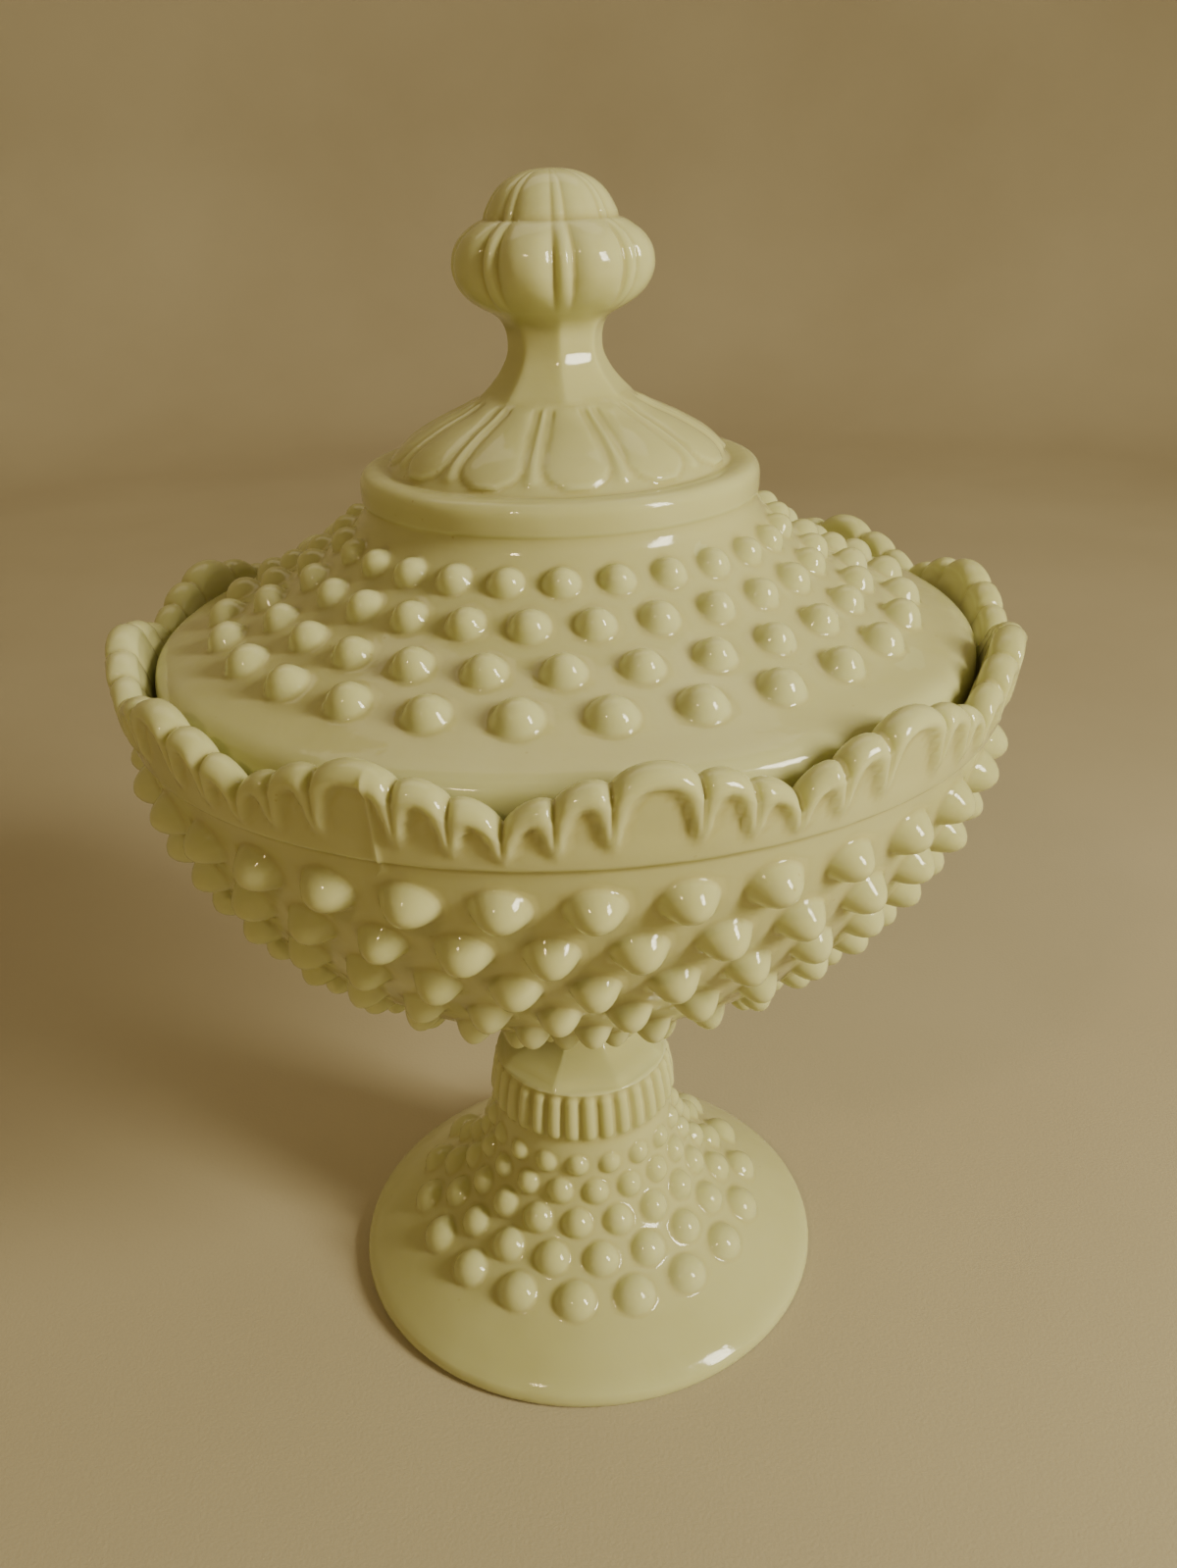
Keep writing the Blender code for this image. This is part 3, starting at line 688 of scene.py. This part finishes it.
def build_lid(material):
    skin = Skin()
    lip = Profile(LID_LIP)
    plain = turn_columns(LIP_COLUMNS)
    first = skin.ring(plain, *lip.at(0.0))
    winder = Winder(skin, first, plain)
    winder.along(lip, 0, lip.end, LIP_STEPS, plain)
    for r in REST_RADII:
        winder.to(plain, r, SEAT_Z + SEAT_GAP)

    outside = Profile(LID_PROFILE)
    columns = turn_columns(CELL_STEPS * LID_HOBS, LID_PHASE)
    edge_end = outside.knots[LID_EDGE_KNOT]
    bands = outside.knots[LID_FIRST_BAND:LID_FIRST_BAND + len(LID_HOB_SIZES) + 1]
    winder.along(outside, 0, edge_end, LID_STEPS[0], columns, skip_first=False)
    winder.along(outside, edge_end, bands[0] - LID_GAPS[0], LID_STEPS[1], columns)
    hob_rows(winder, outside, bands, LID_HOB_SIZES, LID_HOBS, LID_PHASE, ROUND_CONE_HOB)
    hobs_end = bands[-1] + LID_GAPS[1]
    winder.along(outside, hobs_end, outside.end, LID_STEPS[2], columns, skip_first=False)
    collar = Profile(COLLAR)
    winder.along(collar, 0, collar.end, COLLAR_STEPS, columns)

    cone = Profile(CONE)
    petal_columns = turn_columns(PETALS * PETAL_COLUMNS, PETAL_PHASE)
    petals = petal_rule(cone.end)
    winder.along(cone, CONE_START, cone.end, CONE_STEPS, petal_columns, petals, skip_first=False)
    neck = Profile(NECK)
    flats, first_lobes = flats_rule(FACET_PHASE), lobe_rule(1.0, lambda v: BALL_DEPTH[1][0])

    def neck_rule(degrees, s, radius):
        share = smoothstep(s, NECK_FLATS_END * neck.end, neck.end)
        return flats(degrees, s, radius) * (1 - share) + first_lobes(degrees, 0.0, radius) * share
    fine = turn_columns(FACETS * FINIAL_COLUMNS, FACET_PHASE)
    winder.along(neck, NECK_START, neck.end, NECK_STEPS, fine, neck_rule)
    ball = Profile(BALL)
    ball_lobes = lobe_rule(ball.end, lambda v: np.interp(v, *BALL_DEPTH))
    winder.along(ball, 0, ball.end, BALL_STEPS, fine, ball_lobes)
    dome = Profile(FINIAL_DOME)
    dome_lobes = lobe_rule(dome.end, lambda v: DOME_DEPTH[0] + DOME_DEPTH[1] * v)
    winder.along(dome, 0, dome.end, DOME_STEPS, fine, dome_lobes)
    skin.cap(winder.ids, FINIAL_TOP)

    under = Winder(skin, first, plain)
    inside = Profile(LID_INSIDE)
    under.along(inside, 0, inside.end, LID_INSIDE_STEPS, plain)
    skin.cap(under.ids, LID_CEILING)
    return skin.mesh("lid_glass", material)


# ---------------------------------------------------------------- materials
MIX_SHARE, MIX_FIRST, MIX_SECOND, MIX_COLOUR = 0, 6, 7, 2   # sockets of a Mix node set to colour

GLASS_TINTS = [
    (0.30, (0.515, 0.510, 0.245)), (0.52, (0.555, 0.555, 0.285)), (0.75, (0.590, 0.595, 0.330)),
]
# Painted shade for the hollows, then the glass's own specks.
HOLLOW_SHADE_TINT, SPECK_TINT = (0.45, 0.40, 0.14, 1.0), (0.40, 0.34, 0.13, 1.0)
HOLLOW_SHADE_RANGE = (0.42, 0.52)             # painted shade: pointiness where it is fullest, in a hollow, and where it ends, on what is hardly hollow
SPECK_RANGE, SPECK_AREAS = (0.0, 0.10), (0.60, 0.66)        # a speck's size, and where specks occur
GLOSS_RANGE, GLASS_ROUGHNESS = (0.3, 0.75), (0.045, 0.12)
WAVE_WEIGHT = 3.0                       # strength of the slow waves over the fine orange-peel
GLASS_RELIEF, CLOTH_RELIEF = (0.35, 0.00035), (0.25, 0.0003)        # strength, and depth in metres
GLASS_SUBSURFACE = {
    "Subsurface Weight": 0.40, "Subsurface Radius": (0.9, 1.0, 0.45), "Subsurface Scale": 0.005,
}
FLOOR_TINTS = [(0.3, (0.43, 0.37, 0.245)), (0.7, (0.48, 0.42, 0.285))]


class Look:
    """A material as it is put together."""

    def __init__(self, name):
        self.material = bpy.data.materials.new(name)
        self.material.use_nodes = True
        self.nodes, self.links = self.material.node_tree.nodes, self.material.node_tree.links
        self.shader = self.nodes["Principled BSDF"]
        self.place = self.nodes.new("ShaderNodeTexCoord").outputs["Object"]

    def fill(self, node, inputs):
        """Sets a node's inputs: a socket is linked and anything else is a value."""
        for key, value in inputs.items():
            if isinstance(value, bpy.types.NodeSocket):
                self.links.new(value, node.inputs[key])
            else:
                node.inputs[key].default_value = value

    def add(self, kind, inputs, **settings):
        """Adds a node, sets its properties, then its inputs."""
        node = self.nodes.new(kind)
        for key, value in settings.items():
            setattr(node, key, value)
        self.fill(node, inputs)
        return node

    def noise(self, **inputs):
        return self.add("ShaderNodeTexNoise", {"Vector": self.place, **inputs}).outputs["Fac"]

    def remap(self, value, source, target):
        ends = {"From Min": source[0], "From Max": source[1], "To Min": target[0], "To Max": target[1]}
        return self.add("ShaderNodeMapRange", {"Value": value, **ends}).outputs["Result"]

    def blend(self, share, first, second):
        inputs = {MIX_SHARE: share, MIX_FIRST: first, MIX_SECOND: second}
        return self.add("ShaderNodeMix", inputs, data_type="RGBA").outputs[MIX_COLOUR]

    def combine(self, operation, first, second):
        return self.add("ShaderNodeMath", {0: first, 1: second}, operation=operation).outputs["Value"]

    def ramp(self, source, stops):
        node = self.add("ShaderNodeValToRGB", {"Fac": source})
        elements = node.color_ramp.elements
        while len(elements) < len(stops):
            elements.new(0.5)
        for element, (place, colour) in zip(elements, stops):
            element.position = place
            element.color = (*colour, 1.0)
        return node.outputs["Color"]

    def bump(self, height, strength, distance):
        inputs = {"Height": height, "Strength": strength, "Distance": distance}
        return self.add("ShaderNodeBump", inputs).outputs["Normal"]


def milk_glass(name):
    """Opaque ivory milk glass: clouded, with painted shade darker in the hollows, with fine specks and faint
    orange-peel.
    """
    look = Look(name)
    clouds = look.ramp(look.noise(Scale=22.0, Detail=4.0, Roughness=0.55), GLASS_TINTS)
    pointiness = look.nodes.new("ShaderNodeNewGeometry").outputs["Pointiness"]
    # Painted shade: the colour turns darker and yellower in hollows, by pointiness.
    raised = look.remap(pointiness, HOLLOW_SHADE_RANGE, (0.0, 1.0))
    colour = look.blend(raised, HOLLOW_SHADE_TINT, clouds)
    cells = look.add("ShaderNodeTexVoronoi", {"Vector": look.place, "Scale": 330.0})
    off_speck = look.remap(cells.outputs["Distance"], SPECK_RANGE, (0.0, 1.0))
    clear = look.remap(look.noise(Scale=55.0, Detail=1.0), SPECK_AREAS, (1.0, 0.0))
    colour = look.blend(look.combine("MAXIMUM", off_speck, clear), SPECK_TINT, colour)
    gloss = look.noise(Scale=60.0, Detail=5.0, Roughness=0.6)
    peel, wave = look.noise(Scale=170.0, Detail=3.0), look.noise(Scale=45.0, Detail=2.0)
    relief = look.combine("ADD", peel, look.combine("MULTIPLY", wave, WAVE_WEIGHT))
    look.fill(look.shader, {
        "Base Color": colour,
        "Roughness": look.remap(gloss, GLOSS_RANGE, GLASS_ROUGHNESS),
        "Normal": look.bump(relief, *GLASS_RELIEF),
        "IOR": 1.5,
        "Specular IOR Level": 0.36,
        **GLASS_SUBSURFACE,
    })
    return look.material


def floor_cloth():
    """Pale table cover with a fine weave."""
    look = Look("table_cover")
    colour = look.ramp(look.noise(Scale=5.0, Detail=4.0), FLOOR_TINTS)
    look.fill(look.shader, {
        "Base Color": colour,
        "Normal": look.bump(look.noise(Scale=1400.0, Detail=2.0), *CLOTH_RELIEF),
        "Roughness": 0.85,
        "Specular IOR Level": 0.2,
    })
    return look.material


def dress_cad_nodes():
    """Gives the frame's own nodes the same glass, for when they are looked at alone."""
    glass = milk_glass("frame_glass")
    for node in frame["nodes"].values():
        node.data.materials.clear()
        node.data.materials.append(glass)


# ---------------------------------------------------------------- stage, light and camera
FLOOR_COLUMNS, FLOOR_RADII = 96, (60.0, 200.0, 500.0, 900.0)
WALL_BEND, WALL_TOP = 250.0, 1600.0     # radius of the curve up into the wall, and the wall's height
BEND_ANGLES = np.arange(6, 91, 6)

MIDDLE = (0, 0, 0.11)                   # in metres, as are the lights' and the camera's places
LIGHTS = [                              # name, place, what it points at, size, watts, colour
    ("window", (0.76, -0.47, 0.54), MIDDLE, (0.20, 0.40), 12.5, (1.0, 0.94, 0.72)),
    ("lamp", (-0.42, -0.75, 0.80), MIDDLE, (0.08, 0.08), 1.5, (1.0, 0.76, 0.42)),
    ("ceiling", (-0.15, 0.80, 1.45), (-0.15, 0.78, 0.0), (1.6, 0.9), 6.5, (1.0, 0.84, 0.58)),
]
ROOM_GLOW = {"Color": (1.0, 0.66, 0.24, 1.0), "Strength": 0.03}

CAMERA_BACK, CAMERA_HEIGHT = 0.2266, 0.2166
CAMERA_PITCH, CAMERA_YAW = 0.440, 0.014         # radians: how far it looks down, and to the right
CAMERA_ROLL = -0.0316                   # radians: how far its right side is raised
SENSOR_WIDTH, FOCAL_LENGTH = 36.0, 30.28
CLIP_START, CLIP_END = 0.01, 20.0


def build_floor():
    """Round table cover that curves up into a plain wall all round."""
    skin = Skin()
    degrees = turn_columns(FLOOR_COLUMNS)
    first = skin.ring(degrees, FLOOR_RADII[0], 0.0)
    skin.cap(first, 0.0)
    floor = Winder(skin, first, degrees)
    for r in FLOOR_RADII[1:]:
        floor.to(degrees, r, 0.0)
    edge = FLOOR_RADII[-1]
    for a in np.radians(BEND_ANGLES):
        floor.to(degrees, edge + WALL_BEND * math.sin(a), WALL_BEND * (1 - math.cos(a)))
    floor.to(degrees, edge + WALL_BEND, WALL_TOP)
    skin.mesh("table_and_wall", floor_cloth())


def area_light(name, place, aim, size, power, colour):
    data = bpy.data.lights.new(name, "AREA")
    data.shape = "RECTANGLE"
    data.size, data.size_y = size
    data.energy = power
    data.color = colour
    made = bpy.data.objects.new(name, data)
    made.location = place
    made.rotation_mode = "QUATERNION"
    made.rotation_quaternion = (Vector(place) - Vector(aim)).to_track_quat("Z", "Y")
    bpy.context.scene.collection.objects.link(made)


def build_lights():
    for light in LIGHTS:
        area_light(*light)
    world = bpy.data.worlds.new("soft_room")
    world.use_nodes = True
    for key, value in ROOM_GLOW.items():
        world.node_tree.nodes["Background"].inputs[key].default_value = value
    bpy.context.scene.world = world


def build_camera():
    """Camera level with the finial's top, looking down and nearly square on to the front."""
    sin_yaw, cos_yaw = math.sin(CAMERA_YAW), math.cos(CAMERA_YAW)
    forward = Vector((
        sin_yaw * math.cos(CAMERA_PITCH), cos_yaw * math.cos(CAMERA_PITCH), -math.sin(CAMERA_PITCH),
    ))
    right = Vector((cos_yaw, -sin_yaw, 0.0))
    up = right.cross(forward)
    side = right * math.cos(CAMERA_ROLL) + up * math.sin(CAMERA_ROLL)
    top = up * math.cos(CAMERA_ROLL) - right * math.sin(CAMERA_ROLL)
    data = bpy.data.cameras.new("camera")
    data.sensor_fit = "AUTO"
    data.sensor_width = SENSOR_WIDTH
    data.lens = FOCAL_LENGTH
    data.clip_start, data.clip_end = CLIP_START, CLIP_END
    camera = bpy.data.objects.new("camera", data)
    camera.matrix_world = Matrix((
        (side.x, top.x, -forward.x, 0.0),
        (side.y, top.y, -forward.y, -CAMERA_BACK),
        (side.z, top.z, -forward.z, CAMERA_HEIGHT),
        (0.0, 0.0, 0.0, 1.0),
    ))
    bpy.context.scene.collection.objects.link(camera)
    bpy.context.scene.camera = camera


dress_cad_nodes()
bowl = build_footed_bowl(milk_glass("bowl_milk_glass"))
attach(bowl, "base")
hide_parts("footed_bowl")
lid = build_lid(milk_glass("lid_milk_glass"))
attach(lid, "cover")
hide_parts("lid")
build_floor()
build_lights()
build_camera()
